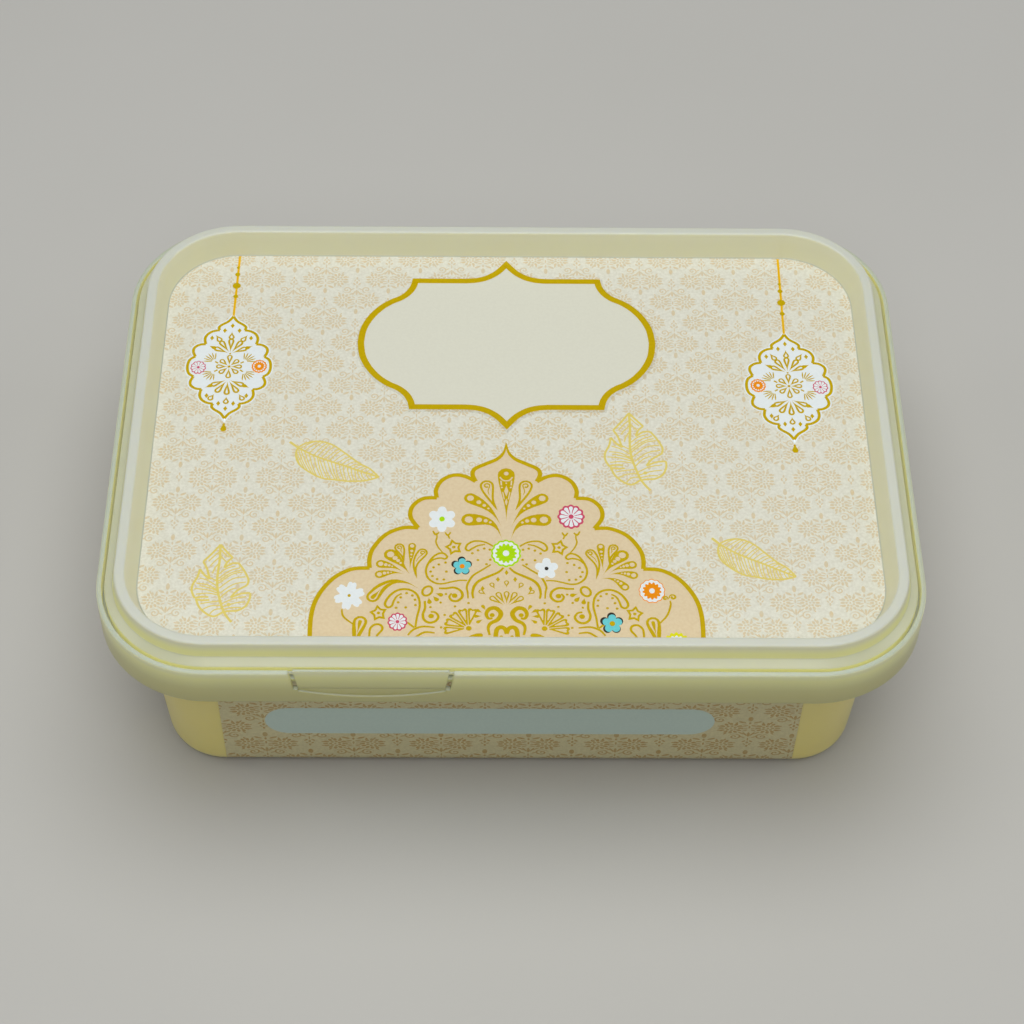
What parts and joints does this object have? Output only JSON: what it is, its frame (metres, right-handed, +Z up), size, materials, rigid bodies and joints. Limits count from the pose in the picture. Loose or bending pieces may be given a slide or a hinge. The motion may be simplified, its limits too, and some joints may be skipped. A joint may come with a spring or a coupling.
{
  "type": "sweet box",
  "caption": "Rectangular moulded plastic sweet box with a snap-in recessed lid, a guard rim with a tear tab, and printed films on lid and walls.",
  "frame": {"origin": "centre of the base, on the table", "axes": "+X along the long side, +Z up towards the lid, -Y towards the front side with the tear tab"},
  "size_m": [0.1728, 0.128, 0.0546],
  "materials": {
    "shell": "satin",
    "lid_shell": "satin",
    "lid_print": "satin",
    "tub_print": "satin"
  },
  "bodies": {
    "tub_body": {"tub": "shell", "tub_film": "tub_print"},
    "lid_body": {"lid": "lid_shell", "lid_film": "lid_print"},
    "tab_body": {"tear_tab": "shell"}
  },
  "joints": [
    {"name": "lid_lift", "type": "slide", "parent": "tub_body", "child": "lid_body", "axis": [0, 0, 1], "range_m": [0, 0.04]},
    {"name": "tab_fold", "type": "hinge", "parent": "tub_body", "child": "tab_body", "pos_m": [-0.0286, -0.0636, 0.0445], "axis": [1, 0, 0], "range_deg": [0, 100]}
  ]
}
